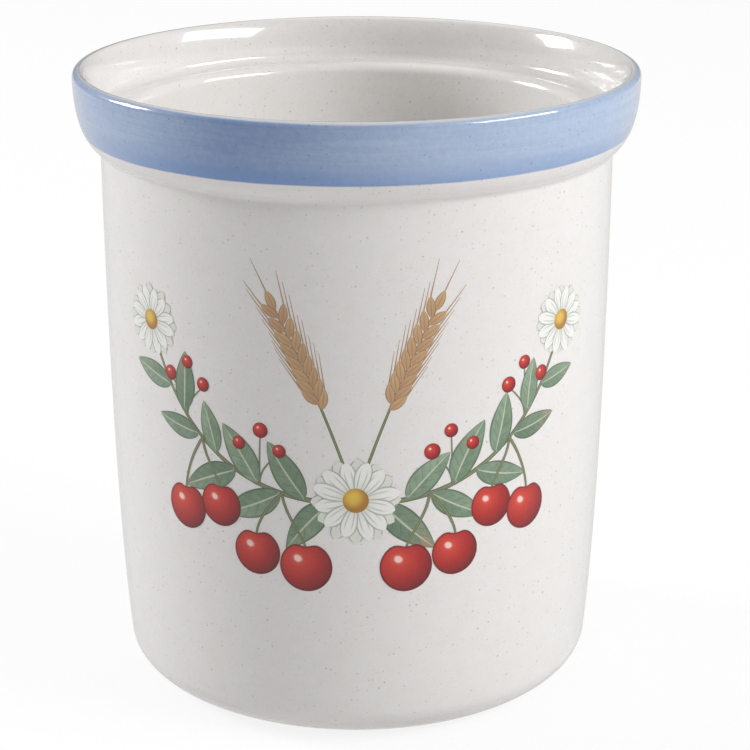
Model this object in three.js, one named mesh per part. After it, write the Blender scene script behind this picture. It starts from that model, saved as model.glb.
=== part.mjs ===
// An open stoneware kitchen canister. One fired clay body has a rolled-out collar, a ledge inside
// its mouth and a recessed underside. White glaze lines the inside and coats the outside, a coloured
// glaze bands the collar, and the ring that it stands on is left as bare clay.
// Millimetres, +Z up. The origin is on the axis, in the plane that the foot stands on.
import * as THREE from "three";

// Clay body, outside
const clayHeight = 184.8; // foot plane to the crown of the lip
const rimRadius = 82.1; // the collar at its widest, just under the lip
const collarOverhang = 7.5; // how far the collar stands out past the wall
const collarDrop = 22.5; // crown of the lip to the corner under the collar
const collarSide = 10.8; // how far down the collar's side stays nearly upright
const collarTuck = 5.0; // length of the slope that tucks the collar in under itself
const collarTuckAngle = 34; // degrees that this slope stands above level
const collarCorner = 1.4; // softening of the corner between the collar and the wall
const wallTaper = 4.7; // how much less the radius is at the foot of the wall than at its top
const wallBulge = 0.5; // how far the wall's shaping point lies inside the wall's top
const wallBulgeHeight = 53.5; // height of that shaping point
const footCornerRun = 17.7; // the rounded bottom corner, measured inwards
const footCornerRise = 11.4; // the rounded bottom corner, measured upwards

// Clay body, mouth and inside
const lipRadius = 1.5; // round over the lip
const lipTurn = 150; // degrees round the lip, from its outside to the top of the flare inside it
const flareReach = 4.0; // how far down the flare leans as it does at the lip
const seatRun = 5.2; // the collar's outside to the foot of the flare, measured inwards
const ledgeDrop = 13.0; // crown of the lip to the ledge that a lid would rest on
const seatFillet = 3.1; // round at the back of the ledge
const mouthRound = 2.75; // round over the front edge of the ledge
const wallThickness = 6.3;
const floorThickness = 7.0; // foot plane to the floor inside
const floorCornerRun = 15.0; // the rounded corner of the floor, measured inwards
const floorCornerRise = 13.0; // the rounded corner of the floor, measured upwards

// Clay body, underside
const footWidth = 6.0; // the ring that the canister stands on
const recessDepth = 2.0; // how far the underside is raised inside that ring
const recessSlope = 3.0; // run of the slope from the ring up to the recess

// Glaze
const glazeThickness = 0.4; // from the clay to the face of the glaze
const bondGap = 0.02; // room left between the clay and the glaze that is fused to it
const bandDrop = 17.4; // crown of the lip to the lower edge of the blue band
const bandTopAngle = 88; // degrees round the lip, from its outside, where the blue band ends
const dryFootHeight = 1.5; // bare clay below this height on the outside
const dryRecessRun = 1.0; // bare clay on the slope up to the recess, measured inwards

// Facets
const turnSteps = 48; // round the axis
const curveSteps = 4; // along a long curve of the outline
const roundSteps = 3; // along a small round

const finish = {
  white: { color: 0xe5e1dc, roughness: 0.12, metalness: 0 },
  blue: { color: 0x7f95be, roughness: 0.12, metalness: 0 },
  bareClay: { color: 0xcdbfa9, roughness: 0.85, metalness: 0 },
};

const at = (radius, height) => new THREE.Vector2(radius, height);
const degrees = THREE.MathUtils.degToRad;

// Radii and heights that follow from the sizes above
const lipCentre = at(rimRadius - lipRadius, clayHeight - lipRadius);
const wallTop = at(rimRadius - collarOverhang, clayHeight - collarDrop);
const wallFoot = at(wallTop.x - wallTaper, footCornerRise);
const wallShaper = at(wallTop.x - wallBulge, wallBulgeHeight);
const footRadius = wallFoot.x - footCornerRun;
const ledgeHeight = clayHeight - ledgeDrop;
const seatRadius = rimRadius - seatRun;
const mouthRadius = wallTop.x - wallThickness;
const floorCornerTop = at(wallFoot.x - wallThickness, floorThickness + floorCornerRise);

// A round from one direction to another, as an arc about a centre
function round(centre, radius, fromDegrees, toDegrees) {
  const clockwise = toDegrees < fromDegrees;
  return new THREE.EllipseCurve(
    centre.x, centre.y, radius, radius, degrees(fromDegrees), degrees(toDegrees), clockwise, 0,
  );
}

// A rounded corner that leaves one end along the line to the corner and reaches the other likewise
function corner(from, cornerPoint, to) {
  const pull = 0.5523; // makes a quarter round of equal sides a circle's arc
  return new THREE.CubicBezierCurve(
    from, from.clone().lerp(cornerPoint, pull), to.clone().lerp(cornerPoint, pull), to,
  );
}

// Where the line from a wall's shaping point through its foot reaches a given height
function alongWall(shaper, foot, height) {
  const share = (height - shaper.y) / (foot.y - shaper.y);
  return shaper.clone().lerp(foot, share);
}

// The share of a rising curve at which it reaches a height
function shareAtHeight(curve, height) {
  let [low, high] = [0, 1];
  for (let i = 0; i < 40; i += 1) {
    const middle = (low + high) / 2;
    if (curve.getPoint(middle).y < height) low = middle;
    else high = middle;
  }
  return low;
}

// Outside, from the foot up to the lip
const footCorner = corner(
  at(footRadius, 0), alongWall(wallShaper, wallFoot, 0), wallFoot,
);
const wallEnd = at(wallTop.x, wallTop.y - collarCorner);
const wallOutside = new THREE.QuadraticBezierCurve(wallFoot, wallShaper, wallEnd);
const tuckWay = at(Math.cos(degrees(collarTuckAngle)), Math.sin(degrees(collarTuckAngle)));
const tuckFoot = wallTop.clone().addScaledVector(tuckWay, collarCorner);
const underCollar = new THREE.QuadraticBezierCurve(wallEnd, wallTop, tuckFoot);
const collarSideTop = at(rimRadius, lipCentre.y);
const collar = new THREE.CubicBezierCurve(
  tuckFoot,
  tuckFoot.clone().addScaledVector(tuckWay, collarTuck),
  at(rimRadius, lipCentre.y - collarSide),
  collarSideTop,
);
const lip = round(lipCentre, lipRadius, 0, lipTurn);

// Inside, from the lip down to the middle of the floor
const seatFoot = at(seatRadius, ledgeHeight + seatFillet);
const flareTop = lip.getPoint(1);
const flareShaper = flareTop.clone().addScaledVector(lip.getTangent(1), flareReach);
const flare = new THREE.QuadraticBezierCurve(flareTop, flareShaper, seatFoot);
const seatRound = round(
  at(seatRadius - seatFillet, ledgeHeight + seatFillet), seatFillet, 0, -90,
);
const ledge = new THREE.LineCurve(
  at(seatRadius - seatFillet, ledgeHeight), at(mouthRadius + mouthRound, ledgeHeight),
);
const mouthEdge = round(
  at(mouthRadius + mouthRound, ledgeHeight - mouthRound), mouthRound, 90, 180,
);
const insideShaper = at(wallShaper.x - wallThickness, wallShaper.y);
const wallInside = new THREE.QuadraticBezierCurve(
  at(mouthRadius, ledgeHeight - mouthRound), insideShaper, floorCornerTop,
);
const floorEdge = at(floorCornerTop.x - floorCornerRun, floorThickness);
const floorCorner = corner(
  floorCornerTop, alongWall(insideShaper, floorCornerTop, floorThickness), floorEdge,
);
const floor = new THREE.LineCurve(floorEdge, at(0, floorThickness));

// Underside, from the middle out to the foot
const recessEdge = at(footRadius - footWidth - recessSlope, recessDepth);
const recess = new THREE.LineCurve(at(0, recessDepth), recessEdge);
const recessSide = new THREE.LineCurve(recessEdge, at(footRadius - footWidth, 0));
const footRing = new THREE.LineCurve(at(footRadius - footWidth, 0), at(footRadius, 0));

// Points along stretches of the outline, each with the direction that points out of the clay.
// A stretch is [curve, steps] or [curve, steps, from, to], with shares of the curve.
function trace(...stretches) {
  const traced = [];
  for (const [curve, steps, from = 0, to = 1] of stretches) {
    for (let i = traced.length ? 1 : 0; i <= steps; i += 1) {
      const share = from + ((to - from) * i) / steps;
      const way = curve.getTangent(share);
      traced.push({ point: curve.getPoint(share), out: at(way.y, -way.x) });
    }
  }
  return traced;
}

const dryShare = shareAtHeight(footCorner, dryFootHeight);
const bandShare = shareAtHeight(collar, clayHeight - bandDrop);
const bandTopShare = bandTopAngle / lipTurn;
const recessGlazedShare = 1 - dryRecessRun / recessSlope;

const outsideFace = trace(
  [footCorner, curveSteps, dryShare, 1],
  [wallOutside, curveSteps],
  [underCollar, roundSteps],
  [collar, roundSteps, 0, bandShare],
);
const bandFace = trace([collar, curveSteps, bandShare, 1], [lip, roundSteps, 0, bandTopShare]);
const insideFace = trace(
  [lip, roundSteps, bandTopShare, 1],
  [flare, curveSteps],
  [seatRound, roundSteps],
  [ledge, 1],
  [mouthEdge, roundSteps],
  [wallInside, curveSteps],
  [floorCorner, curveSteps],
  [floor, 1],
);
const undersideFace = trace([recess, 1], [recessSide, 1, 0, recessGlazedShare]);
const dryFace = trace(
  [recessSide, 1, recessGlazedShare, 1],
  [footRing, 1],
  [footCorner, 2, 0, dryShare],
);

// The outline of the whole clay body, from the middle of its underside round to its floor
function clayOutline() {
  const faces = [undersideFace, dryFace, outsideFace, bandFace, insideFace];
  return faces.flatMap((face, i) => face.slice(i ? 1 : 0)).map((step) => step.point);
}

// A face of the clay, raised out of it by a distance
function raised(face, distance) {
  return face.map(({ point, out }) => point.clone().addScaledVector(out, distance));
}

// The outline of a coat of glaze on one face of the clay. It starts on the axis if the face meets it.
function coatOutline(face) {
  const skin = raised(face, glazeThickness);
  const bed = raised(face, bondGap).reverse();
  const reachesAxisLast = bed[0].x === 0;
  if (reachesAxisLast) return [...bed, ...skin];
  const reachesAxisFirst = skin[0].x === 0;
  return reachesAxisFirst ? [...skin, ...bed] : [...skin, ...bed, skin[0]];
}

// One piece, turned from its outline about the Z axis
function turned(name, outline, look) {
  const geometry = new THREE.LatheGeometry(outline, turnSteps).rotateX(Math.PI / 2);
  const mesh = new THREE.Mesh(geometry, new THREE.MeshStandardMaterial(look));
  mesh.name = name;
  return mesh;
}

const canister = new THREE.Group();
canister.add(
  turned("stoneware_body", clayOutline(), finish.bareClay),
  turned("outside_glaze", coatOutline(outsideFace), finish.white),
  turned("blue_band_glaze", coatOutline(bandFace), finish.blue),
  turned("inside_glaze", coatOutline(insideFace), finish.white),
  turned("underside_glaze", coatOutline(undersideFace), finish.white),
);

export default canister;
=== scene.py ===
# %% [markdown]
# # A stoneware kitchen canister
# The canister is one thrown pot: buff clay, a white speckled glaze inside and out, a blue band brushed
# round its collar and a printed garland on its front. The solids come in first, as a frame that nothing
# moves. Each of them is plain, so every coat is made again here with a finer surface.

# %% Load the frame
import math
import random
from bisect import bisect

import bmesh
import bpy
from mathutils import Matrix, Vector
from mathutils.geometry import interpolate_bezier


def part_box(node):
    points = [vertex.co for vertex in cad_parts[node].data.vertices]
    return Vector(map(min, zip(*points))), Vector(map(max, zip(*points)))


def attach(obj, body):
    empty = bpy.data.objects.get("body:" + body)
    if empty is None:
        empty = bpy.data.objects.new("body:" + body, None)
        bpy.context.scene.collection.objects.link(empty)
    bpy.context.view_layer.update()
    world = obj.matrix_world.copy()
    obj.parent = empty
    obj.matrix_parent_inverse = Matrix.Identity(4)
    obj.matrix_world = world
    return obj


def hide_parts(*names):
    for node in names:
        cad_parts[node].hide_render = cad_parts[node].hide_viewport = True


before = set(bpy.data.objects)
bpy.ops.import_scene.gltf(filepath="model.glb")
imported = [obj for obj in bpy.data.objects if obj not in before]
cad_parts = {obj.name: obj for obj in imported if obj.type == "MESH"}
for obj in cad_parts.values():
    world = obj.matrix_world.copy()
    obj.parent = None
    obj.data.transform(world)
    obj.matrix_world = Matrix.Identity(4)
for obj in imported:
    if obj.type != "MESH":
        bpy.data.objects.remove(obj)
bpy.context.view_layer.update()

MM = 0.001

# %% [markdown]
# ## The camera
# The camera comes first, because everything after it is judged through it. The pot was photographed
# with a long lens from a little above the rim. The ellipse of the rim and the curve of the foot fix how
# high and how far away the lens was. A camera that keeps its level turn of zero and only tips down keeps
# the sides of the pot upright in the picture.

# %% Camera
CAMERA_PLACE = Vector((0.0053, -0.692, 0.317))
CAMERA_TIP_DOWN = math.radians(18.18)
SENSOR_WIDTH = 36
FOCAL_PIXELS = 2400
PICTURE_PIXELS = 750

camera_data = bpy.data.cameras.new("camera")
camera_data.sensor_width = SENSOR_WIDTH
camera_data.lens = FOCAL_PIXELS / PICTURE_PIXELS * SENSOR_WIDTH
camera = bpy.data.objects.new("camera", camera_data)
camera.location = CAMERA_PLACE
camera.rotation_euler = (math.pi / 2 - CAMERA_TIP_DOWN, 0, 0)
scene = bpy.context.scene
scene.collection.objects.link(camera)
scene.camera = camera
print("lens in mm:", round(camera_data.lens, 1))

# %% [markdown]
# ## Sizes
# What the frame can tell is read from it: the height, the widest radius and the thickness of the glaze.
# The other sizes are the pot's own, in millimetres, and they are the same ones that its solids have.

# %% Sizes
CLAY_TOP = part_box("stoneware_body")[1].z
RIM_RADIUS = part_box("stoneware_body")[1].x
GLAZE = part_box("blue_band_glaze")[1].x - RIM_RADIUS

COLLAR_OVERHANG = 7.5 * MM
COLLAR_DROP = 22.5 * MM
COLLAR_SIDE = 10.8 * MM
COLLAR_TUCK = 5.0 * MM
COLLAR_TUCK_ANGLE = math.radians(34)
COLLAR_CORNER = 1.4 * MM
WALL_TAPER = 4.7 * MM
WALL_BULGE = 0.5 * MM
WALL_BULGE_HEIGHT = 53.5 * MM
FOOT_CORNER_RUN = 17.7 * MM
FOOT_CORNER_RISE = 11.4 * MM
LIP_RADIUS = 1.5 * MM
LIP_TURN = math.radians(150)
FLARE_REACH = 4.0 * MM
SEAT_RUN = 5.2 * MM
LEDGE_DROP = 13.0 * MM
SEAT_FILLET = 3.1 * MM
MOUTH_ROUND = 2.75 * MM
WALL_THICKNESS = 6.3 * MM
FLOOR_THICKNESS = 7.0 * MM
FLOOR_CORNER_RUN = 15.0 * MM
FLOOR_CORNER_RISE = 13.0 * MM
FOOT_WIDTH = 6.0 * MM
RECESS_DEPTH = 2.0 * MM
RECESS_SLOPE = 3.0 * MM
DRY_RECESS_RUN = 1.0 * MM
DRY_FOOT_HEIGHT = 1.5 * MM
BAND_DROP = 17.4 * MM
BAND_TOP_ANGLE = math.radians(88)
print("glaze in mm:", round(GLAZE / MM, 2), "rim across in mm:", round(2 * (RIM_RADIUS + GLAZE) / MM, 1))

# %% [markdown]
# ## The outline of the clay
# A potter shapes a turned pot with a rib held against the clay, so the whole form is one outline spun
# round an axis. The outline could be drawn as a long list of points. It is shorter and smoother as a few
# bends: each leaves one point, leans towards a corner and arrives at the next point, and Blender's own
# Bezier helper fills in the steps between.

# %% Helpers for an outline
ROUND = 0.5523  # the pull that makes a quarter turn a circle's arc
SWEEP = 2 / 3  # the pull that makes one even sweep


def at(radius, height):
    """A point of the outline, in the plane that is spun."""
    return Vector((radius, 0.0, height))


def bend(start, corner, end, steps, pull=ROUND):
    """A curve that leaves start towards a corner and reaches end from it."""
    return interpolate_bezier(start, start.lerp(corner, pull), end.lerp(corner, pull), end, steps + 1)


def line(start, end, steps):
    """A straight stretch with even steps."""
    return [start.lerp(end, i / steps) for i in range(steps + 1)]


def arc(centre, radius, first, last, steps):
    """A round about a centre, from one angle above level to another."""
    angles = [first + (last - first) * i / steps for i in range(steps + 1)]
    return [centre + at(math.cos(angle), math.sin(angle)) * radius for angle in angles]


def joined(*stretches):
    """Stretches that share their end points, as one outline."""
    outline = list(stretches[0])
    for stretch in stretches[1:]:
        outline += stretch[1:]
    return outline


def cut(outline, height):
    """A rising outline in two parts, below and above a height. Both hold the point there."""
    for i, (low, high) in enumerate(zip(outline, outline[1:])):
        if low.z <= height <= high.z:
            point = low.lerp(high, (height - low.z) / (high.z - low.z))
            return outline[: i + 1] + [point], [point] + outline[i + 1 :]
    raise ValueError("the outline doesn't reach this height")


# %% Outside, from the foot to the crown of the lip
wall_top = at(RIM_RADIUS - COLLAR_OVERHANG, CLAY_TOP - COLLAR_DROP)
wall_foot = at(wall_top.x - WALL_TAPER, FOOT_CORNER_RISE)
wall_shaper = at(wall_top.x - WALL_BULGE, WALL_BULGE_HEIGHT)
foot_edge = at(wall_foot.x - FOOT_CORNER_RUN, 0)
lip_centre = at(RIM_RADIUS - LIP_RADIUS, CLAY_TOP - LIP_RADIUS)
lip_outside = at(RIM_RADIUS, lip_centre.z)


def along_wall(shaper, foot, height):
    """Where the line from the shaping point through the wall's foot reaches a height."""
    return shaper.lerp(foot, (height - shaper.z) / (foot.z - shaper.z))


tuck_way = at(math.cos(COLLAR_TUCK_ANGLE), math.sin(COLLAR_TUCK_ANGLE))
tuck_foot = wall_top + tuck_way * COLLAR_CORNER
wall_end = at(wall_top.x, wall_top.z - COLLAR_CORNER)
collar = interpolate_bezier(
    tuck_foot, tuck_foot + tuck_way * COLLAR_TUCK,
    at(RIM_RADIUS, lip_outside.z - COLLAR_SIDE), lip_outside, 41,
)
rising = joined(
    bend(foot_edge, along_wall(wall_shaper, wall_foot, 0), wall_foot, 60),
    bend(wall_foot, wall_shaper, wall_end, 48, SWEEP),
    bend(wall_end, wall_top, tuck_foot, 10, SWEEP),
    collar,
    arc(lip_centre, LIP_RADIUS, 0, math.pi / 2, 16),
)
print("outside outline:", len(rising), "points")

# %% Inside, from the crown down to the middle of the floor
inner_lip = arc(lip_centre, LIP_RADIUS, math.pi / 2, LIP_TURN, 12)
flare_shaper = inner_lip[-1] + at(-math.sin(LIP_TURN), math.cos(LIP_TURN)) * FLARE_REACH
ledge_height = CLAY_TOP - LEDGE_DROP
seat_radius = RIM_RADIUS - SEAT_RUN
mouth_radius = wall_top.x - WALL_THICKNESS
inside_shaper = at(wall_shaper.x - WALL_THICKNESS, wall_shaper.z)
floor_corner = at(wall_foot.x - WALL_THICKNESS, FLOOR_THICKNESS + FLOOR_CORNER_RISE)
floor_edge = at(floor_corner.x - FLOOR_CORNER_RUN, FLOOR_THICKNESS)
seat_foot = at(seat_radius, ledge_height + SEAT_FILLET)
ledge_back = at(seat_radius - SEAT_FILLET, ledge_height)
ledge_front = at(mouth_radius + MOUTH_ROUND, ledge_height)
mouth_foot = at(mouth_radius, ledge_height - MOUTH_ROUND)
falling = joined(
    inner_lip,
    bend(inner_lip[-1], flare_shaper, seat_foot, 28, SWEEP),
    bend(seat_foot, at(seat_radius, ledge_height), ledge_back, 12),
    line(ledge_back, ledge_front, 4),
    bend(ledge_front, at(mouth_radius, ledge_height), mouth_foot, 12),
    bend(mouth_foot, inside_shaper, floor_corner, 40, SWEEP),
    bend(floor_corner, along_wall(inside_shaper, floor_corner, FLOOR_THICKNESS), floor_edge, 24),
    line(floor_edge, at(0, FLOOR_THICKNESS), 12),
)
print("inside outline:", len(falling), "points")

# %% Underside, and the outline cut into what each coat covers
recess_edge = at(foot_edge.x - FOOT_WIDTH - RECESS_SLOPE, RECESS_DEPTH)
ring_inside = at(foot_edge.x - FOOT_WIDTH, 0)
dry_start = ring_inside.lerp(recess_edge, DRY_RECESS_RUN / RECESS_SLOPE)
band_edge_height = CLAY_TOP - BAND_DROP
band_top_height = lip_outside.z + LIP_RADIUS * math.sin(BAND_TOP_ANGLE)

glazed_recess = joined(line(at(0, RECESS_DEPTH), recess_edge, 12), line(recess_edge, dry_start, 8))
dry_corner, above_foot = cut(rising, DRY_FOOT_HEIGHT)
glazed_outside, above_wall = cut(above_foot, band_edge_height)
banded, lip_top = cut(above_wall, band_top_height)
bare_ring = joined(line(dry_start, ring_inside, 4), line(ring_inside, foot_edge, 6), dry_corner)
lined_inside = joined(lip_top, falling)
clay_outline = joined(glazed_recess, bare_ring, glazed_outside, banded, lined_inside)
print("whole outline:", len(clay_outline), "points")

# %% [markdown]
# ## Spinning an outline
# bmesh's spin turns a chain of edges about an axis, as a wheel does. A full turn merges its last step
# with its first. Points on the axis come out once for each step, so doubles are merged afterwards, and
# only then do the normals know which way is out. Edges that turn sharply are marked, so that smooth
# shading doesn't round them off.

# %% Helpers for a turned piece
TURN_STEPS = 192
SHARP_TURN = math.radians(38)
MERGE_DISTANCE = 0.001 * MM


def turned(outline):
    """A closed mesh from an outline that starts and ends on the axis, or that closes on itself."""
    bm = bmesh.new()
    verts = [bm.verts.new(point) for point in outline]
    edges = [bm.edges.new(pair) for pair in zip(verts, verts[1:])]
    if outline[0].x > 0:
        edges.append(bm.edges.new((verts[-1], verts[0])))
    bmesh.ops.spin(
        bm, geom=verts + edges, axis=(0, 0, 1), cent=(0, 0, 0),
        steps=TURN_STEPS, angle=2 * math.pi, use_merge=True,
    )
    return bm


def finished(name, bm, material):
    """The mesh as an object of the canister, merged, facing out and smooth except at sharp turns."""
    bmesh.ops.remove_doubles(bm, verts=bm.verts, dist=MERGE_DISTANCE)
    bmesh.ops.recalc_face_normals(bm, faces=bm.faces)
    for face in bm.faces:
        face.smooth = True
    for edge in bm.edges:
        edge.smooth = edge.calc_face_angle(0) < SHARP_TURN
    mesh = bpy.data.meshes.new(name)
    bm.to_mesh(mesh)
    open_edges = sum(not edge.is_manifold for edge in bm.edges)
    bm.free()
    mesh.materials.append(material)
    piece = bpy.data.objects.new(name, mesh)
    scene.collection.objects.link(piece)
    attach(piece, "root")
    print(name, "faces:", len(mesh.polygons), "open edges:", open_edges)
    return piece


def raised(outline, depths):
    """The outline moved out of the clay, by its own depth at each point."""
    last = len(outline) - 1
    moved = []
    for i, point in enumerate(outline):
        along = outline[min(i + 1, last)] - outline[max(i - 1, 0)]
        out = Vector((along.z, 0, -along.x)).normalized()
        moved.append(point + out * depths[i])
    for end in (0, -1):
        if outline[end].x == 0:
            moved[end].x = 0
    return moved


# %% [markdown]
# ## Writing a shader as sums
# A material's pattern is arithmetic on places: a speck is where the distance to a random point is small.
# Node trees hide that arithmetic in boxes and wires. This small class wraps one socket, so that the usual
# operators add the Math nodes, and one method makes every other kind of node.

# %% A socket that takes part in sums
class Wire:
    """A shader socket in a node tree. Arithmetic on it adds Math nodes."""

    def __init__(self, tree, socket=None):
        self.tree = tree
        self.socket = socket

    def node(self, kind, settings=(), inputs=(), output=0):
        """Any node: its settings first, then the values or wires of its inputs."""
        made = self.tree.nodes.new("ShaderNode" + kind)
        for name, value in dict(settings).items():
            if name == "stops":
                set_stops(made.color_ramp, value)
            else:
                setattr(made, name, value)
        for name, value in dict(inputs).items():
            if isinstance(value, Wire):
                self.tree.links.new(value.socket, made.inputs[name])
            else:
                made.inputs[name].default_value = value
        return Wire(self.tree, made.outputs[output] if made.outputs else None)

    def other(self, output):
        """Another output of the same node."""
        return Wire(self.tree, self.socket.node.outputs[output])

    def math(self, operation, *values):
        """A Math node on values or wires."""
        return self.node("Math", {"operation": operation}, dict(enumerate(values)))

    def __add__(self, value):
        return self.math("ADD", self, value)

    def __radd__(self, value):
        return self.math("ADD", value, self)

    def __sub__(self, value):
        return self.math("SUBTRACT", self, value)

    def __rsub__(self, value):
        return self.math("SUBTRACT", value, self)

    def __mul__(self, value):
        return self.math("MULTIPLY", self, value)

    def __rmul__(self, value):
        return self.math("MULTIPLY", value, self)

    def __truediv__(self, value):
        return self.math("DIVIDE", self, value)

    def __pow__(self, value):
        return self.math("POWER", self, value)

    def __lt__(self, value):
        return self.math("LESS_THAN", self, value)

    def __abs__(self):
        return self.math("ABSOLUTE", self)

    def between(self, low, high):
        """Rises smoothly from 0 at low to 1 at high."""
        return self.node(
            "MapRange", {"interpolation_type": "SMOOTHSTEP"},
            {"Value": self, "From Min": low, "From Max": high},
        )

    def mix(self, first, second):
        """The first colour where this is 0, the second where it is 1."""
        return self.node("Mix", {"data_type": "RGBA"}, {0: self, 6: first, 7: second}, 2)


def set_stops(ramp, stops):
    """Sets a colour ramp's stops from (position, colour) pairs."""
    while len(ramp.elements) < len(stops):
        ramp.elements.new(0.5)
    for element, (position, colour) in zip(ramp.elements, stops):
        element.position = position
        element.color = colour


def paint(red, green, blue):
    """A colour as it is written on screen, 0 to 255, in the linear light that shaders use."""
    levels = [level / 255 for level in (red, green, blue)]
    return (*[v / 12.92 if v <= 0.04045 else ((v + 0.055) / 1.055) ** 2.4 for v in levels], 1.0)


def new_material(name):
    """An empty material, and a wire to start its tree with."""
    material = bpy.data.materials.new(name)
    material.use_nodes = True
    material.node_tree.nodes.clear()
    return material, Wire(material.node_tree)


# %% [markdown]
# ## Bare clay
# The ring that the pot stands on is wiped clean of glaze, or it would fuse to the kiln shelf. Fired buff
# stoneware is matt and slightly sandy, with iron specks and paler grog. Two noises at the scale of sand
# give the grain, and the same grain lifts the surface a little.

# %% Bare clay finish
BUFF = paint(201, 184, 158)
PALE_BUFF = paint(214, 200, 178)
SAND = paint(170, 150, 122)
IRON = paint(104, 80, 60)
SAND_SIZE = 0.9 * MM
SAND_RISE = 0.12 * MM
IRON_SIZE = 0.6 * MM
STAIN_SIZE = 14 * MM


def grain(place, size, detail=4.0):
    """Even noise from 0 to 1 with lumps of about this size."""
    return place.node(
        "TexNoise", {}, {"Vector": place, "Scale": 1 / size, "Detail": detail, "Roughness": 0.6}, "Fac",
    )


def bare_clay():
    """The finish of fired clay without glaze."""
    material, wire = new_material("bare_clay")
    place = wire.node("TexCoord", output="Object")
    sand = grain(place, SAND_SIZE)
    stain = grain(place, STAIN_SIZE, 2.0).between(0.3, 0.7)
    iron = grain(place, IRON_SIZE, 1.0).between(0.70, 0.76)
    buff = stain.mix(BUFF, PALE_BUFF)
    sandy = (sand.between(0.35, 0.75) * 0.35).mix(buff, SAND)
    colour = (iron * 0.7).mix(sandy, IRON)
    bump = wire.node("Bump", {}, {"Height": sand, "Distance": SAND_RISE, "Strength": 0.6}, "Normal")
    surface = wire.node("BsdfPrincipled", {}, {
        "Base Color": colour, "Roughness": 0.78 + sand * 0.15, "Normal": bump,
    })
    wire.node("OutputMaterial", {}, {"Surface": surface})
    return material


clay_body = finished("clay_body", turned(clay_outline), bare_clay())
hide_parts("stoneware_body")

# %% [markdown]
# ## White speckled glaze and the blue band
# The glaze is a glassy coat, so it has two glosses: a sharp one from its surface, which is the shader's
# coat, and a softer one from the uneven layer below. Iron from the clay bleeds through it as fine specks.
# The specks are spheres round the random points of a Voronoi pattern that the surface cuts through, so
# they come out in all sizes. The band is the same glaze with cobalt in it, laid on with a brush while the
# wheel turns: streaks run round the collar, the colour pools at the lower edge and it breaks to a pale
# line where the glaze runs thin over the lip. Light is painted into the band: it is painted paler from the
# middle to the right, where the right soft box falls, and paler at its far left end as a painted sheen, so
# it is deepest left of the middle. Its lower edge leans a little. One function makes both finishes, from
# the place on the pot, so that the coats meet without a seam.

# %% Specks
SPECK_CORE = 0.2  # of its radius
SMALLEST_SPECK = 0.4  # of the largest
FAINTEST_SPECK = 0.35  # of the strongest


def specks(place, spacing, size, share):
    """Soft specks of up to this radius, on this share of the random points, some fainter than others."""
    cells = place.node("TexVoronoi", {"feature": "F1"}, {"Vector": place, "Scale": 1 / spacing}, "Distance")
    luck = place.node("SeparateColor", {}, {"Color": cells.other("Color")}, "Red")
    reach = (SMALLEST_SPECK + (1 - SMALLEST_SPECK) * luck.other("Green")) * (size / spacing)
    strength = FAINTEST_SPECK + (1 - FAINTEST_SPECK) * luck.other("Blue")
    return (1 - cells.between(SPECK_CORE * reach, reach)) * (luck < share) * strength


# %% Where the blue band lies
BAND_SOFTNESS = 0.22 * MM
BAND_WAVER = 0.5 * MM
BAND_LEAN = 0.42 * MM
WAVER_SIZE = 22 * MM
LIP_WAVER = 0.25
# Painted light on the band: painted paler towards the right, where the right soft box falls, and paler at
# the far left end as a painted sheen.
LEFT_PAINTED_SHEEN = (-0.82, -0.36)  # from side to side of the pot, -1 to 1
RIGHT_PAINTED_LIGHT = (-0.45, 0.3)
LEFT_SHEEN_SHARE = 0.75
INNER_FADE = 1.9 * MM  # in from the lip's centre
OUTER_FADE = 1.4 * MM
PATCH_SIZE = 9 * MM
PATCHES_FADE = (0.0, 0.6)
PALE_FROM = math.radians(36)
PALE_WHOLE = math.radians(57)
PALE_WANDER = math.radians(34)
BAND_END = math.radians(96)
END_SOFTNESS = math.radians(4)


def band_places(place):
    """Masks of the band, its pale lip, the line where it ends and painted light on the band, and the
    height.
    """
    spot = place.node("SeparateXYZ", {}, {"Vector": place}, "X")
    radius = (spot * spot + spot.other("Y") * spot.other("Y")) ** 0.5
    height = spot.other("Z")
    aside = spot / radius
    # Painted light: paler from the middle to the right side, and a painted sheen at the far left end.
    painted_light = aside.between(*RIGHT_PAINTED_LIGHT) + LEFT_SHEEN_SHARE * (1 - aside.between(*LEFT_PAINTED_SHEEN))
    waver = grain(place, WAVER_SIZE, 2.0) - 0.5
    lower_edge = height + waver * BAND_WAVER - (1 + aside) * BAND_LEAN - band_edge_height
    lower = lower_edge.between(-BAND_SOFTNESS, BAND_SOFTNESS)
    outer = radius.between(lip_centre.x - INNER_FADE, lip_centre.x - OUTER_FADE)
    from_level = radius.math("ARCTAN2", height - lip_centre.z, radius - lip_centre.x)
    round_lip = from_level + waver * LIP_WAVER
    upper = 1 - round_lip.between(BAND_END - END_SOFTNESS, BAND_END + END_SOFTNESS)
    pale = (round_lip - PALE_WANDER * aside * aside).between(PALE_FROM, PALE_WHOLE)
    thin = 1 - abs(round_lip - BAND_END).between(END_SOFTNESS, 3 * END_SOFTNESS)
    patchy = grain(place, PATCH_SIZE, 3.0).between(0.3, 0.5)
    bare = thin * outer * patchy * (1 - aside.between(*PATCHES_FADE))
    return lower * outer * upper, pale, bare, painted_light, height


# %% Glaze colours
WHITE_GLAZE = paint(241, 239, 237)
WARM_GLAZE = paint(236, 232, 229)
FULL_BLUE = paint(131, 157, 202)
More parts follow.
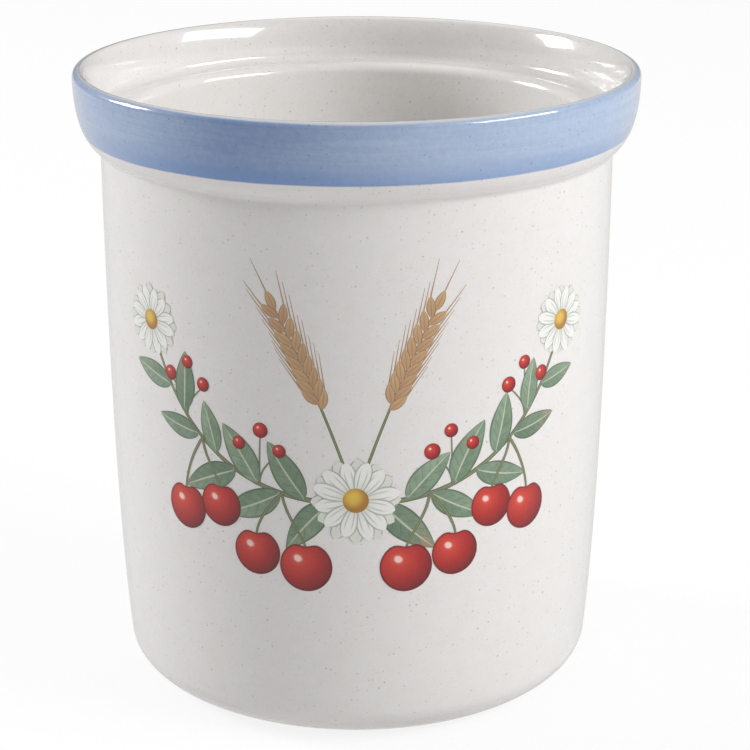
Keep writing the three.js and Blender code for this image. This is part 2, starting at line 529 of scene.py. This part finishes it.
# The pale blue of thin brush streaks, and of the light painted on the band.
PALE_STREAK_AND_LIT_BLUE = paint(186, 202, 225)
POOLED_BLUE = paint(114, 150, 206)
PALE_LIP = paint(212, 213, 219)
THIN_GLAZE = paint(158, 153, 148)
IRON_SPECK = paint(122, 110, 100)
FAINT_SPECK = paint(172, 163, 155)
NAVY_SPECK = paint(66, 78, 104)
FINE_STREAKS = (45, 45, 1500)
BROAD_STREAKS = (26, 26, 420)
POOL_FULL = 0.5 * MM
POOL_END = 8 * MM
POOL_WAVER = 1.2 * MM


def streaks(place, scale):
    """Brush streaks that run round the pot: noise drawn out along the level."""
    stretched = place.node("Mapping", {}, {"Vector": place, "Scale": scale})
    return place.node("TexNoise", {}, {"Vector": stretched, "Scale": 1.0, "Detail": 3.0}, "Fac")


def blue_colour(place, height, pale, painted_light):
    """The band's colour: streaky, painted paler where light falls on it, pooled deep at its lower edge."""
    fine = streaks(place, FINE_STREAKS).between(0.35, 0.65)
    broad = streaks(place, BROAD_STREAKS).between(0.38, 0.66)
    mottle = grain(place, 1.6 * MM, 3.0).between(0.35, 0.7)
    pool_top = height + (fine - 0.5) * POOL_WAVER
    pooled = 1 - pool_top.between(band_edge_height + POOL_FULL, band_edge_height + POOL_END)
    # The streaks and mottle are the glaze's own; the paleness on the right and at the far left is painted
    # light.
    brushed = (0.7 * painted_light + 0.12 * broad + 0.16 * mottle - 0.12 * fine).mix(FULL_BLUE, PALE_STREAK_AND_LIT_BLUE)
    settled = (pooled * (0.8 - 0.3 * painted_light)).mix(brushed, POOLED_BLUE)
    return pale.mix(settled, PALE_LIP)


# %% Glaze finish
GLAZE_ROUGHNESS = 0.27
FINE_SPECKS = (0.8 * MM, 0.28 * MM, 0.5)  # spacing, radius and share
DARK_SPECKS = (1.5 * MM, 0.5 * MM, 0.35)


def glossy(wire, colour, roughness):
    """A glassy coat over a colour."""
    surface = wire.node("BsdfPrincipled", {}, {
        "Base Color": colour, "Roughness": roughness, "Specular IOR Level": 0.2,
        "Coat Weight": 1.0, "Coat Roughness": 0.05, "Coat IOR": 1.5,
    })
    wire.node("OutputMaterial", {}, {"Surface": surface})


def glaze(name):
    """The finish of the glaze, white and blue, from the place on the pot."""
    material, wire = new_material(name)
    place = wire.node("TexCoord", output="Object")
    band, pale, bare, painted_light, height = band_places(place)
    mottle = grain(place, 5 * MM, 5.0)
    dusty = grain(place, 1.1 * MM, 2.0)
    white = (0.5 * mottle + 0.5 * dusty).between(0.25, 0.75).mix(WHITE_GLAZE, WARM_GLAZE)
    ground = (bare * 0.8).mix(band.mix(white, blue_colour(place, height, pale, painted_light)), THIN_GLAZE)
    blue_part = band * (1 - pale) * 0.8
    fine = specks(place, *FINE_SPECKS) * 0.4
    dark = specks(place, *DARK_SPECKS) * 0.48
    dusted = fine.mix(ground, blue_part.mix(FAINT_SPECK, NAVY_SPECK))
    colour = dark.mix(dusted, blue_part.mix(IRON_SPECK, NAVY_SPECK))
    glossy(wire, colour, GLAZE_ROUGHNESS)
    return material


white_glaze = glaze("white_speckled_glaze")
blue_glaze = glaze("blue_band_glaze_finish")
print("nodes of the glaze:", len(white_glaze.node_tree.nodes))

# %% [markdown]
# ## The coats
# Each coat is a thin closed shell: its face is the clay's outline raised by the thickness of the glaze.
# The whole outline is raised at once and then cut, so that two coats meet at exactly the same points.
# Where a coat ends on bare clay it thins out in a round bead, because melted glaze draws itself into a
# drop.

# %% Depth of the glaze along the outline
GLAZE_BEAD = 1.3 * MM


def path_lengths(outline):
    """How far along the outline each point lies."""
    lengths = [0.0]
    for low, high in zip(outline, outline[1:]):
        lengths.append(lengths[-1] + (high - low).length)
    return lengths


lengths = path_lengths(clay_outline)
recess_end = len(glazed_recess) - 1
outside_start = recess_end + len(bare_ring) - 1
depths = []
for i, length in enumerate(lengths):
    if i <= recess_end:
        run = lengths[recess_end] - length
    else:
        run = max(0.0, length - lengths[outside_start])
    thin = max(0.0, 1 - run / GLAZE_BEAD)
    depths.append(GLAZE * math.sqrt(1 - thin * thin))
glaze_outline = raised(clay_outline, depths)
print("glazed points:", sum(depth > 0 for depth in depths), "of", len(depths))

# %% Coats of glaze
band_start = outside_start + len(glazed_outside) - 1
lining_start = band_start + len(banded) - 1
COATS = [
    ("underside_coat", "underside_glaze", glazed_recess, 0, white_glaze, "white_glaze"),
    ("outside_coat", "outside_glaze", glazed_outside, outside_start, white_glaze, "white_glaze"),
    ("blue_band", "blue_band_glaze", banded, band_start, blue_glaze, "blue_glaze"),
    ("inside_lining", "inside_glaze", lined_inside, lining_start, white_glaze, "white_glaze"),
]
for name, node, bed, start, finish, slot in COATS:
    skin = glaze_outline[start : start + len(bed)]
    loop = list(reversed(bed)) + skin if bed[-1].x == 0 else skin + list(reversed(bed))
    coat = finished(name, turned(loop), finish)
    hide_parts(node)

# %% [markdown]
# ## The printed garland
# A printed transfer is laid on the glazed front and fired in, so its colours share the gloss of the
# glaze. It is drawn flat first, in millimetres, as the transfer sheet is: a hanging garland of plain
# leaves with cherries, berries, daisies and two ears of wheat. Each motif is a small grid of faces,
# shaped by a formula. Every point keeps its place along and across its motif, so that the shader can
# draw veins, shading and outlines there. It could be a picture on the glaze, but thin pieces need no
# picture file and stay sharp from any distance.

# %% Helpers for flat shapes
SPOT = "spot"
LIFT_STEP = 0.005  # millimetres from one level to the next
FIRST_LIFT = 1.5  # steps that the lowest level stands off the glaze
PRINT_DEPTH = 0.004  # millimetres
HAND_SEED = 11
hand = random.Random(HAND_SEED)


def new_print():
    """An empty mesh whose points keep their place along and across a motif, and the motif's tone."""
    bm = bmesh.new()
    bm.verts.layers.float_vector.new(SPOT)
    return bm


def patch(bm, columns, rows, shape, level, tone=0.0):
    """A grid of faces on one level of the flat print. The shape gives the point at each place."""
    spot = bm.verts.layers.float_vector[SPOT]
    grid = bmesh.ops.create_grid(bm, x_segments=columns, y_segments=rows, size=0.5)
    for vert in grid["verts"]:
        along, across = vert.co.x + 0.5, vert.co.y + 0.5
        vert[spot] = (along, across, tone)
        vert.co = (*shape(along, across), LIFT_STEP * (level + FIRST_LIFT))


def on_curve(handles, share):
    """The point at a share of a curve with handles, and the way that the curve runs there."""
    points = list(handles)
    while len(points) > 2:
        points = [low.lerp(high, share) for low, high in zip(points, points[1:])]
    return points[0].lerp(points[1], share), (points[1] - points[0]).normalized()


def ribbon(handles, width, tip_width):
    """A stem along a curve, tapering to its tip."""
    def shape(along, across):
        point, way = on_curve(handles, along)
        breadth = width + (tip_width - width) * along
        return point + Vector((-way.y, way.x)) * ((across - 0.5) * breadth)
    return shape


def toward(heading):
    """The way that a heading points on the flat print."""
    return Vector((math.cos(heading), math.sin(heading)))


def blade(base, heading, length, width, sway=0.0, belly=0.8, fullness=0.8):
    """A leaf, petal or grain with a swaying rib. A smaller belly puts its widest part nearer the base."""
    way = toward(heading)
    side = Vector((-way.y, way.x))

    def shape(along, across):
        half = width / 2 * abs(math.sin(math.pi * along ** belly)) ** fullness
        off_rib = (2 * across - 1) * half + sway * length * along ** 2
        return base + way * (length * along) + side * off_rib
    return shape


DENT_WIDTH = 0.35  # of the radius


def disc(centre, radius, dent=0.0):
    """A round shape from a square grid, with a dent at its top."""
    def shape(along, across):
        x, y = 2 * along - 1, 2 * across - 1
        x, y = x * math.sqrt(1 - y * y / 2), y * math.sqrt(1 - x * x / 2)
        dip = dent * max(0.0, y) * math.exp(-((x / DENT_WIDTH) ** 2))
        return centre + Vector((x, y - dip)) * radius
    return shape


# %% Wrapping the flat print on to the wall
PRINT_HEIGHT = 95 * MM
outside_skin = glaze_outline[outside_start : band_start + 1]
skin_heights = [point.z for point in outside_skin]


def glazed_radius(height):
    """The radius of the glazed wall at a height."""
    above = bisect(skin_heights, height)
    low, high = outside_skin[above - 1], outside_skin[above]
    return low.lerp(high, (height - low.z) / (high.z - low.z)).x


print_radius = glazed_radius(PRINT_HEIGHT)
print("radius under the print in mm:", round(print_radius / MM, 1))


def wrapped(flat):
    """A point of the flat print, laid on the front of the wall."""
    height = PRINT_HEIGHT + flat.y * MM
    radius = glazed_radius(height) + flat.z * MM
    turn = flat.x * MM / print_radius
    return Vector((radius * math.sin(turn), -radius * math.cos(turn), height))


def printed_piece(name, bm, material):
    """The flat motifs as thin solids on the front of the pot."""
    bmesh.ops.remove_doubles(bm, verts=bm.verts, dist=MERGE_DISTANCE / MM)
    bm.normal_update()
    bmesh.ops.reverse_faces(bm, faces=[face for face in bm.faces if face.normal.z < 0])
    bmesh.ops.solidify(bm, geom=bm.faces[:], thickness=PRINT_DEPTH)
    for vert in bm.verts:
        vert.co = wrapped(vert.co)
    return finished(name, bm, material)


# %% Finish of the print
PRINT_ROUGHNESS = 0.26


def printed(name, colours):
    """The finish of one kind of motif, from the place along and across it, under the gloss."""
    material, wire = new_material(name)
    place = wire.node("TexCoord", output="Object")
    spot = wire.node("Attribute", {"attribute_name": SPOT}, {}, "Vector")
    along = wire.node("SeparateXYZ", {}, {"Vector": spot}, "X")
    colour = colours(along, along.other("Y"), along.other("Z"), place)
    glossy(wire, colour, PRINT_ROUGHNESS)
    return material


# %% Leaf and stem colours
SAGE = paint(122, 148, 120)
PALE_SAGE = paint(168, 187, 160)
DEEP_SAGE = paint(84, 110, 88)
LEAF_RIB = paint(206, 212, 190)
LEAF_INK = paint(76, 96, 76)
TAN = paint(182, 140, 108)
STEM_GREEN = paint(132, 140, 100)
STEM_INK = paint(96, 96, 66)
SIDE_VEINS = 6.5
VEIN_SLANT = 1.3


def leaf_colour(along, across, tone, place):
    """A leaf: one half lighter, a rib and side veins, a darker outline and now and then a tan tip."""
    from_rib = abs(2 * across - 1)
    wash = grain(place, 3 * MM, 4.0).between(0.3, 0.7)
    body = (0.5 * wash + 0.35 * across.between(0.46, 0.54)).mix(SAGE, PALE_SAGE)
    shaded = (0.5 * tone + 0.3 * (1 - along)).mix(body, DEEP_SAGE)
    blush = (along + 0.3 * wash).between(0.7, 1.25) * tone.between(0.55, 0.75)
    tinted = (0.85 * blush).mix(shaded, TAN)
    turn = along * SIDE_VEINS - from_rib * VEIN_SLANT
    vein = 1 - abs(turn.math("FRACT", turn) - 0.5).between(0.02, 0.1)
    veined = (vein * (1 - from_rib.between(0.6, 0.9)) * 0.4).mix(tinted, LEAF_INK)
    ribbed = ((1 - from_rib.between(0.03, 0.1)) * 0.8).mix(veined, LEAF_RIB)
    return (from_rib.between(0.8, 0.95) * 0.7).mix(ribbed, LEAF_INK)


def stem_colour(along, across, tone, place):
    """A stem: darker along both edges."""
    return abs(2 * across - 1).between(0.3, 0.95).mix(STEM_GREEN, STEM_INK)


# %% Cherry colours
CHERRY_STOPS = [
    (0.0, paint(232, 104, 82)), (0.22, paint(212, 60, 46)),
    (0.6, paint(178, 32, 30)), (1.0, paint(118, 16, 22)),
]
CHERRY_INK = paint(104, 14, 20)
CHERRY_GLINT = paint(252, 226, 214)
STIPPLE_SIZE = 0.5 * MM


def round_places(along, across):
    """The place on a round motif, from -1 to 1 each way."""
    x, y = 2 * along - 1, 2 * across - 1
    return x * (1 - 0.5 * y * y) ** 0.5, y * (1 - 0.5 * x * x) ** 0.5


def far(x, y):
    """The distance of a place from the middle."""
    return (x * x + y * y) ** 0.5


def cherry_colour(along, across, tone, place):
    """A cherry: bright where the light falls, deep red away from it, with a glint and a dark rim."""
    x, y = round_places(along, across)
    from_light = far(x + 0.3, y - 0.34)
    stipple = (grain(place, STIPPLE_SIZE, 2.0) - 0.5) * 0.25
    depth = from_light / 1.4 + stipple
    body = along.node("ValToRGB", {"stops": CHERRY_STOPS}, {"Fac": depth}, "Color")
    glint = 1 - from_light.between(0.1, 0.2)
    rim = far(x, y).between(0.9, 0.98)
    return (0.8 * rim).mix((0.85 * glint).mix(body, CHERRY_GLINT), CHERRY_INK)


# %% Wheat and daisy colours
STRAW = paint(214, 178, 128)
STRAW_INK = paint(150, 106, 66)
PETAL_WHITE = paint(246, 245, 240)
PETAL_SHADE = paint(206, 212, 196)
PETAL_INK = paint(132, 144, 132)
EYE_YELLOW = paint(232, 192, 74)
EYE_OCHRE = paint(176, 120, 40)
EYE_DOTS = (0.55 * MM, 0.2 * MM, 1.0)


def straw_colour(along, across, tone, place):
    """A grain of wheat: straw, with a crease down the middle and a darker outline."""
    from_rib = abs(2 * across - 1)
    body = ((1 - along) * 0.6 + tone * 0.3).mix(STRAW, TAN)
    crease = (1 - from_rib.between(0.05, 0.2)) * 0.45
    return (crease + from_rib.between(0.7, 0.95) * 0.8).mix(body, STRAW_INK)


def petal_colour(along, across, tone, place):
    """A petal: white, greyer towards the eye and on the petals behind, with two creases and an outline."""
    from_rib = abs(2 * across - 1)
    shade = (1 - along.between(0.1, 0.6)) * 0.8 + 0.45 * tone
    crease = 1 - abs(from_rib - 0.4).between(0.03, 0.12)
    creased = crease * along.between(0.1, 0.3) * (1 - along.between(0.6, 0.85))
    body = (0.5 * creased).mix(shade.mix(PETAL_WHITE, PETAL_SHADE), PETAL_INK)
    return (from_rib.between(0.74, 0.94) * 0.75).mix(body, PETAL_INK)


def eye_colour(along, across, tone, place):
    """A daisy's eye: yellow, ochre round its edge, with dots."""
    x, y = round_places(along, across)
    body = far(x + 0.2, y - 0.25).between(0.2, 1.1).mix(EYE_YELLOW, EYE_OCHRE)
    return (specks(place, *EYE_DOTS) * 0.55).mix(body, STRAW_INK)


# %% [markdown]
# The garland hangs from two daisies and is lowest in the middle, where a third one sits. Both halves
# follow the same curve, but a painter never draws two leaves quite alike, so a seeded hand varies them.
# Motifs that overlap lie on different levels, each thinner than a hair.

# %% Levels of the print, from the glaze up
STEM_LEVEL = 1
AWN_LEVEL = 2
BERRY_STALK_LEVEL = 3
GRAIN_LEVEL = 4
LEAF_LEVEL = 7
CHERRY_STALK_LEVEL = 11
FRUIT_LEVEL = 13
PETAL_LEVEL = 15
EYE_LEVEL = 22
print("top of the print above the glaze in mm:", LIFT_STEP * (EYE_LEVEL + FIRST_LIFT))

# %% Stems and leaves
HALF_GARLAND = [Vector((0, -18)), Vector((26, -20)), Vector((52, -8)), Vector((64, 24))]
SIDES = (-1, 1)
LEAVES_EACH_SIDE = 9
FIRST_LEAF = 0.09  # share of the stem
LEAF_STEP = 0.093
LEAF_LEAN = (38, 50)  # degrees
LEAF_LENGTH = (17.5, 21.5)
LEAF_SHRINK = 0.45  # from each leaf to the next
LEAF_WIDTH = 0.42  # of its length
LEAF_SWAY = 0.14
stems = new_print()
leaves = new_print()


def mirrored(handles, side):
    """The same handles on the left or the right half."""
    return [Vector((handle.x * side, handle.y)) for handle in handles]


for side in SIDES:
    half = mirrored(HALF_GARLAND, side)
    patch(stems, 40, 2, ribbon(half, 1.7, 0.9), STEM_LEVEL + side)
    for i in range(LEAVES_EACH_SIDE):
        point, way = on_curve(half, FIRST_LEAF + LEAF_STEP * i)
        lean = math.radians(hand.uniform(*LEAF_LEAN)) * (1 if i % 2 else -1) * side
        length = hand.uniform(*LEAF_LENGTH) - LEAF_SHRINK * i
        leaf = blade(
            point, math.atan2(way.y, way.x) + lean, length, LEAF_WIDTH * length,
            sway=hand.uniform(-LEAF_SWAY, LEAF_SWAY),
        )
        patch(leaves, 18, 8, leaf, LEAF_LEVEL + i % 4, hand.random())
print("points of the leaves:", len(leaves.verts))

# %% Cherries and berries
CHERRY_PAIRS = [  # share of the stem, then right, up and radius of each cherry
    (0.27, [(-6.5, -21.5, 7.6), (8.0, -18.5, 7.0)]),
    (0.63, [(-5.5, -19.0, 6.6), (7.0, -22.0, 7.0)]),
]
CHERRY_DENT = 0.2
STALK_FOOT = 0.72  # of the radius
BERRY_SPRAYS = [0.36, 0.72]
BERRY_STALKS = [(62, 13), (92, 16), (120, 12)]  # degrees above level, and length
BERRY_RADIUS = (1.9, 2.4)
cherries = new_print()
for side in SIDES:
    half = mirrored(HALF_GARLAND, side)
    for share, pair in CHERRY_PAIRS:
        knot, _ = on_curve(half, share)
        for level, (right, up, radius) in enumerate(pair):
            centre = knot + Vector((right * side, up))
            top = centre + Vector((0, STALK_FOOT * radius))
            stalk = [knot, knot.lerp(top, 0.4) + Vector((2.2 * side, 0)), top + Vector((0, 3)), top]
            patch(stems, 14, 2, ribbon(stalk, 0.9, 0.7), CHERRY_STALK_LEVEL + level)
            patch(cherries, 16, 16, disc(centre, radius, CHERRY_DENT), FRUIT_LEVEL + level)
    for share in BERRY_SPRAYS:
        knot, _ = on_curve(half, share)
        for level, (degrees, reach) in enumerate(BERRY_STALKS):
            turn = math.radians(degrees)
            tip = knot + Vector((math.cos(turn) * side, math.sin(turn))) * reach
            stalk = [knot, knot + Vector((0, 0.5 * reach)), tip - Vector((0, 2)), tip]
            patch(stems, 12, 2, ribbon(stalk, 0.6, 0.4), BERRY_STALK_LEVEL + level)
            patch(cherries, 8, 8, disc(tip, hand.uniform(*BERRY_RADIUS)), FRUIT_LEVEL + level)
print("points of the cherries:", len(cherries.verts))

# %% Daisies
DAISIES = [(0.0, -17.5, 13.5), (-65.0, 27.0, 11.0), (65.0, 27.0, 11.0)]  # right, up and reach
PETALS_EACH_RING = 12
PETAL_WIDTH = 0.36  # of the reach
PETAL_SWAY = 0.05
PETAL_TURN = 0.06
EYE_RADIUS = 0.27  # of the reach
petals = new_print()
eyes = new_print()
for right, up, reach in DAISIES:
    centre = Vector((right, up))
    for ring in (0, 1):
        for i in range(PETALS_EACH_RING):
            even_turn = 2 * math.pi * (i + 0.5 * ring) / PETALS_EACH_RING
            turn = even_turn + hand.uniform(-PETAL_TURN, PETAL_TURN)
            length = reach * hand.uniform(0.9, 1.0) * (1 - 0.06 * ring)
            sway = hand.uniform(-PETAL_SWAY, PETAL_SWAY)
            petal = blade(centre, turn, length, PETAL_WIDTH * reach, sway, belly=1.7, fullness=0.55)
            patch(petals, 14, 6, petal, PETAL_LEVEL + 3 * ring + i % 3, 1.0 - ring)
    patch(eyes, 10, 10, disc(centre, EYE_RADIUS * reach), EYE_LEVEL)
print("points of the petals:", len(petals.verts))

# %% Ears of wheat
EAR = [Vector((1, -14)), Vector((7, 4)), Vector((12, 17)), Vector((22, 37))]
GRAIN_ROWS = 8
EAR_FOOT = 0.46  # share of the stalk
EAR_LENGTH = 0.53
GRAIN_LENGTH = 6.4
GRAIN_WIDTH = 2.7
GRAIN_LEAN = math.radians(30)
AWN_FOOT = 6.0  # along the grain
AWN_LENGTH = (8, 11)
AWN_LEAN = 0.45  # of the grain's lean
wheat = new_print()
for side in SIDES:
    ear = mirrored(EAR, side)
    patch(stems, 30, 2, ribbon(ear, 0.9, 0.6), STEM_LEVEL + side)
    for i in range(2 * GRAIN_ROWS + 1):
        point, way = on_curve(ear, EAR_FOOT + EAR_LENGTH * i / (2 * GRAIN_ROWS))
        last = i == 2 * GRAIN_ROWS
        lean = 0.0 if last else GRAIN_LEAN * (1 if i % 2 else -1)
        stalk_turn = math.atan2(way.y, way.x)
        kernel = blade(point, stalk_turn + lean, GRAIN_LENGTH, GRAIN_WIDTH, belly=0.9)
        patch(wheat, 10, 6, kernel, GRAIN_LEVEL + i % 2, hand.random())
        tip = point + toward(stalk_turn + lean) * AWN_FOOT
        awn = toward(stalk_turn + lean * AWN_LEAN) * hand.uniform(*AWN_LENGTH)
        patch(wheat, 10, 2, ribbon([tip, tip + awn * 0.5, tip + awn], 0.4, 0.14), AWN_LEVEL, 1.0)
print("points of the wheat:", len(wheat.verts))

# %% Printed pieces
for name, bm, colours in [
    ("garland_stems", stems, stem_colour),
    ("garland_wheat", wheat, straw_colour),
    ("garland_leaves", leaves, leaf_colour),
    ("garland_cherries", cherries, cherry_colour),
    ("garland_daisies", petals, petal_colour),
    ("garland_daisy_eyes", eyes, eye_colour),
]:
    printed_piece(name, bm, printed(name + "_print", colours))

# %% [markdown]
# ## Floor and light
# The pot stands on a white sweep between two soft boxes: a large one at its right, and one at its left,
# a little behind. The world is a dark room that is paler behind and above the pot, where a backdrop and a
# ceiling give some light back, so the front of the pot falls into a soft shade. Camera rays see the sweep
# as white with only the pot's own shadow on it, as in a catalogue picture. The gloss sees it as a duller
# white, which keeps the sides of the pot apart from the background.

# %% Floor
FLOOR_HALF_SIDE = 6.0
SWEEP_WHITE = 0.8
GLOSS_SEES = 0.7
SHADOW_SHARE = 0.13


def grey(level):
    """An even grey from 0 to 1, in linear light."""
    return (level, level, level, 1)


def floor_finish():
    """A white sweep. The camera sees it with a faint shadow, and the gloss sees it duller."""
    material, wire = new_material("white_sweep")
    seen = wire.node("LightPath", output="Is Camera Ray")
    lit = wire.node("BsdfDiffuse", {}, {"Color": grey(SWEEP_WHITE)})
    dim = wire.node("Emission", {}, {"Color": grey(1), "Strength": GLOSS_SEES})
    unseen = wire.node("MixShader", {}, {0: seen.other("Is Glossy Ray"), 1: lit, 2: dim})
    shadow = wire.node("BsdfDiffuse", {}, {"Color": grey(SHADOW_SHARE)})
    glow = wire.node("Emission", {}, {"Color": grey(1), "Strength": 1 - SHADOW_SHARE})
    shown = wire.node("AddShader", {}, {0: shadow, 1: glow})
    surface = wire.node("MixShader", {}, {0: seen, 1: unseen, 2: shown})
    wire.node("OutputMaterial", {}, {"Surface": surface})
    return material


floor_bm = bmesh.new()
bmesh.ops.create_grid(floor_bm, x_segments=1, y_segments=1, size=FLOOR_HALF_SIDE)
floor_mesh = bpy.data.meshes.new("floor")
floor_bm.to_mesh(floor_mesh)
floor_bm.free()
floor_mesh.materials.append(floor_finish())
floor = bpy.data.objects.new("floor", floor_mesh)
scene.collection.objects.link(floor)
print("floor across in m:", 2 * FLOOR_HALF_SIDE)

# %% Soft boxes
def soft_box(name, azimuth, elevation, distance, size, watts):
    """A soft box that faces the pot, at an azimuth from the camera's side and a height above level."""
    lamp = bpy.data.lights.new(name, "AREA")
    lamp.shape = "RECTANGLE"
    lamp.size, lamp.size_y = size
    lamp.energy = watts
    box = bpy.data.objects.new(name, lamp)
    turn, rise = math.radians(azimuth), math.radians(elevation)
    level_way = Vector((math.sin(turn), -math.cos(turn), 0))
    way = level_way * math.cos(rise) + Vector((0, 0, math.sin(rise)))
    box.location = Vector((0, 0, CLAY_TOP / 2)) + way * distance
    box.rotation_euler = way.to_track_quat("Z", "Y").to_euler()
    scene.collection.objects.link(box)
    print(name, "watts:", watts, "height in m:", round(box.location.z, 2))


soft_box("right_box", azimuth=70, elevation=31, distance=2.2, size=(1.42, 0.62), watts=35.5)
soft_box("left_box", azimuth=-106, elevation=25, distance=2.2, size=(0.67, 0.66), watts=31)

# %% World
BACKDROP_LIGHT = 0.28
CEILING_LIGHT = 0.42
world = bpy.data.worlds.new("studio")
scene.world = world
world.use_nodes = True
world.node_tree.nodes.clear()
sky = Wire(world.node_tree)
camera_ray = sky.node("LightPath", output="Is Camera Ray")
way = sky.node("SeparateXYZ", {}, {"Vector": sky.node("TexCoord", output="Generated")}, "Y")
behind = BACKDROP_LIGHT * way.between(-0.2, 1.0)
above = CEILING_LIGHT * way.other("Z").between(-0.1, 1.0)
dark = sky.node("Background", {}, {"Color": grey(0), "Strength": 1.0})
white = sky.node("Background", {}, {"Color": grey(1), "Strength": 1.0})
fill = sky.node("MixShader", {}, {0: behind + above, 1: dark, 2: white})
surface = sky.node("MixShader", {}, {0: camera_ray, 1: fill, 2: white})
sky.node("OutputWorld", {}, {"Surface": surface})
scene.view_settings.view_transform = "Standard"
print("nodes of the world:", len(world.node_tree.nodes))
